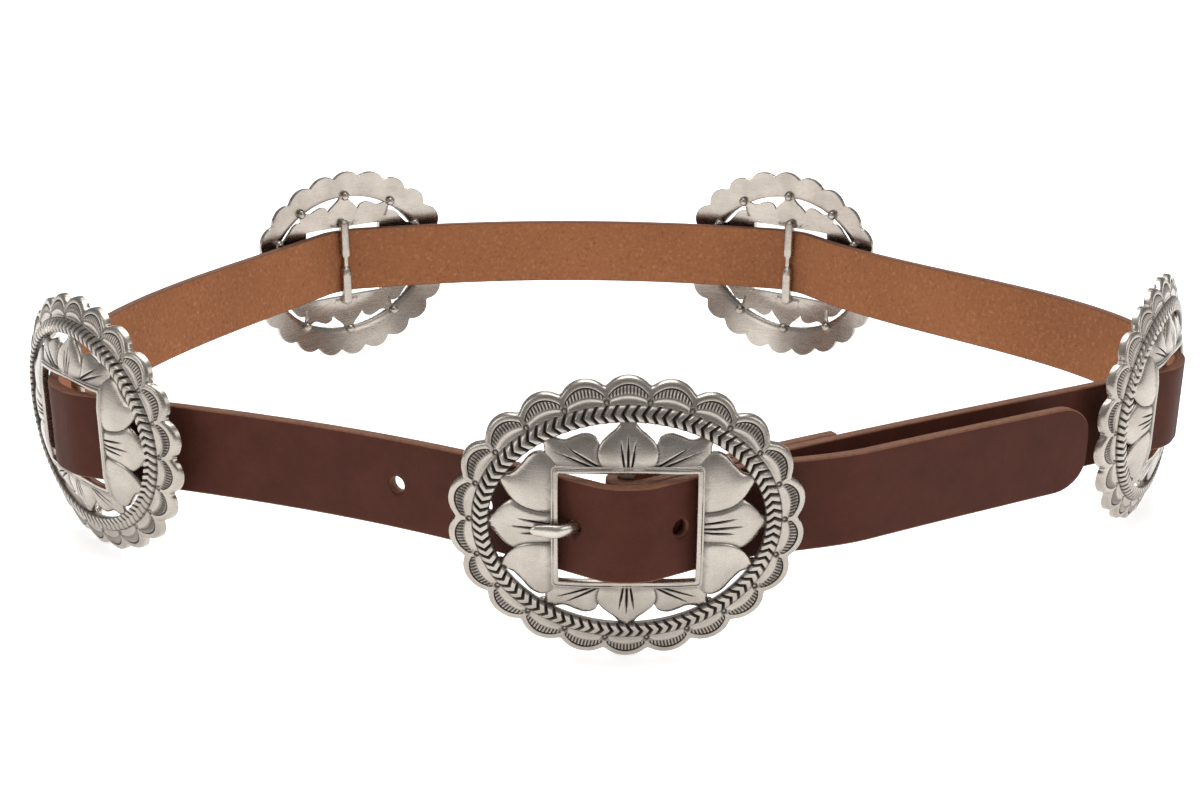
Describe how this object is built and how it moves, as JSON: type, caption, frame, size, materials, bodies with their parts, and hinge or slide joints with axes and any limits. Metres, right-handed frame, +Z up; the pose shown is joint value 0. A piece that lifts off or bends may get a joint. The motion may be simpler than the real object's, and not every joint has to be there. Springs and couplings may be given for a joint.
{
  "type": "concho belt",
  "caption": "Leather belt buckled into a loop, with scalloped oval openwork plates sliding on the strap and a matching plate as its buckle.",
  "frame": {"origin": "middle of the belt's box, on the surface that the plates' lower edges stand on", "axes": "+X to the right seen from the front, +Y from the buckle to the back, +Z up"},
  "size_m": [0.3694, 0.3068, 0.0762],
  "materials": {
    "leather": "smooth dark brown face outside, raw tan flesh side inside and raw tan edges",
    "cast_silver": "satin antique silver, dark in the recesses, brushed on the back",
    "prong_wire": "satin antique silver wire",
    "rivet": "plain satin"
  },
  "bodies": {
    "root": {"strap": "leather", "buckle": "cast_silver", "buckle_prong": "prong_wire", "concho_left": "cast_silver", "concho_back_left": "cast_silver", "concho_back_right": "cast_silver", "concho_right": "cast_silver", "fold_rivet": "rivet"}
  },
  "joints": []
}
